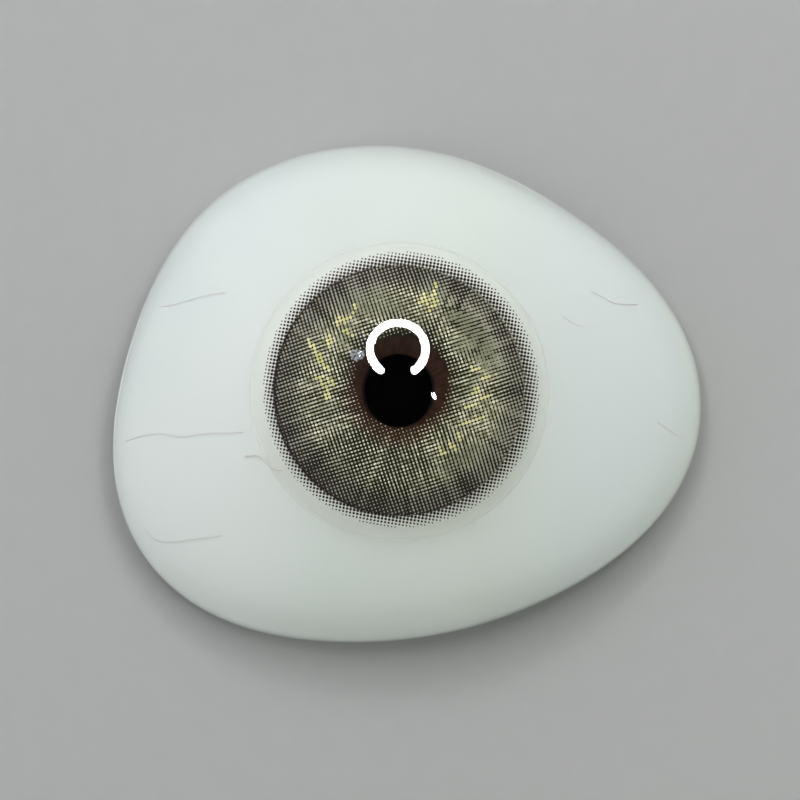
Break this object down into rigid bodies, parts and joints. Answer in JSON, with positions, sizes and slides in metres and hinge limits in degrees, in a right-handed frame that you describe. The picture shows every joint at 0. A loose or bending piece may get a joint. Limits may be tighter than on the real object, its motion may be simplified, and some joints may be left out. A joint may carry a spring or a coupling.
{
  "type": "artificial eye wearing a coloured contact lens",
  "caption": "White acrylic artificial eye with a brown iris, wearing a soft contact lens printed with a dotted olive ring and a dark limbal ring.",
  "frame": {"origin": "middle of the outline's box, on the plane that the three low places of the rim rest on", "axes": "+Z out of the front of the eye, +X to the right along its long way and +Y up, as seen from the front with the eye lying on its hollow back"},
  "size_m": [0.0282, 0.0238, 0.0109],
  "materials": {
    "white_acrylic": "glossy, white with a faint green tint",
    "iris_brown": "painted dark brown",
    "pupil_black": "black",
    "vein_silk": "dull red silk",
    "clear_acrylic": "clear and polished",
    "limbal_print": "near-black ink, printed in dots",
    "colour_print": "olive ink, printed in dots",
    "fleck_ink": "yellow ink, printed in dots",
    "lens_hydrogel": "clear, soft and wet"
  },
  "bodies": {
    "root": {"scleral_shell": "white_acrylic", "iris_disc": "iris_brown", "pupil_disc": "pupil_black", "vein_thread_left_upper": "vein_silk", "vein_thread_left_middle": "vein_silk", "vein_thread_left_curl": "vein_silk", "vein_thread_left_lower": "vein_silk", "vein_thread_right_long": "vein_silk", "vein_thread_right_short": "vein_silk", "vein_thread_right_edge": "vein_silk", "clear_cap": "clear_acrylic", "limbal_print": "limbal_print", "colour_print": "colour_print", "fleck_print_top": "fleck_ink", "fleck_print_right": "fleck_ink", "fleck_print_lower_right": "fleck_ink", "fleck_print_left": "fleck_ink", "fleck_print_upper_left": "fleck_ink", "fleck_print_top_left": "fleck_ink", "contact_lens": "lens_hydrogel"}
  },
  "joints": []
}
